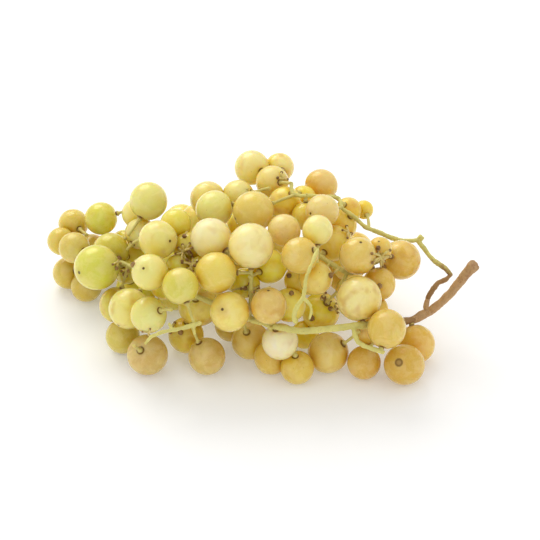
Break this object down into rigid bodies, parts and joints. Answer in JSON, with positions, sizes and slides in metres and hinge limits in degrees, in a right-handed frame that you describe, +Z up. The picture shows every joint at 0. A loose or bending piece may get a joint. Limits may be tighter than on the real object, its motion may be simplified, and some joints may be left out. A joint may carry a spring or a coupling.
{
  "type": "bunch of grapes",
  "caption": "Loose bunch of pale green and golden table grapes on branching green stems with a cut woody stalk, lying on its side",
  "frame": {"origin": "middle of the bunch's footprint, on the surface that it lies on", "axes": "+X from the tip of the bunch to the cut end of its stalk, +Y to the back, +Z up"},
  "size_m": [0.1842, 0.109, 0.0669],
  "materials": {
    "berry_green": "translucent pale green grape skin with a thin bloom",
    "berry_pale": "translucent pale yellow grape skin with a thin bloom",
    "berry_gold": "translucent golden peach grape skin with a thin bloom",
    "green_stem": "fresh yellow-green stem, satin, browned at its joints",
    "peduncle_wood": "dry brown woody stalk, matte"
  },
  "bodies": {
    "root": {"berry_01": "berry_green", "berry_02": "berry_green", "berry_03": "berry_green", "berry_04": "berry_green", "berry_05": "berry_green", "berry_06": "berry_green", "berry_07": "berry_green", "berry_08": "berry_green", "berry_09": "berry_pale", "berry_10": "berry_pale", "berry_11": "berry_pale", "berry_12": "berry_pale", "berry_13": "berry_pale", "berry_14": "berry_pale", "berry_15": "berry_gold", "berry_16": "berry_gold", "berry_17": "berry_gold", "berry_18": "berry_gold", "berry_19": "berry_gold", "berry_20": "berry_gold", "berry_21": "berry_gold", "berry_22": "berry_gold", "berry_23": "berry_gold", "berry_24": "berry_gold", "berry_25": "berry_pale", "berry_26": "berry_pale", "berry_27": "berry_pale", "berry_28": "berry_pale", "berry_29": "berry_green", "berry_30": "berry_gold", "berry_group_01": "berry_green", "berry_group_02": "berry_green", "berry_group_03": "berry_green", "berry_group_04": "berry_green", "berry_group_05": "berry_green", "berry_group_06": "berry_green", "berry_group_07": "berry_pale", "berry_group_08": "berry_pale", "berry_group_09": "berry_gold", "berry_group_10": "berry_gold", "berry_group_11": "berry_gold", "berry_group_12": "berry_gold", "berry_group_13": "berry_pale", "berry_group_14": "berry_gold", "berry_group_15": "berry_gold", "berry_group_16": "berry_pale", "berry_group_17": "berry_pale", "berry_group_18": "berry_green", "berry_group_19": "berry_green", "berry_group_20": "berry_pale", "berry_group_21": "berry_pale", "berry_group_22": "berry_pale", "berry_group_23": "berry_gold", "berry_group_24": "berry_gold", "crown_lateral": "green_stem", "front_lateral": "green_stem", "left_lateral": "green_stem", "peduncle": "peduncle_wood", "rachis": "green_stem", "wing_stem": "green_stem"}
  },
  "joints": []
}
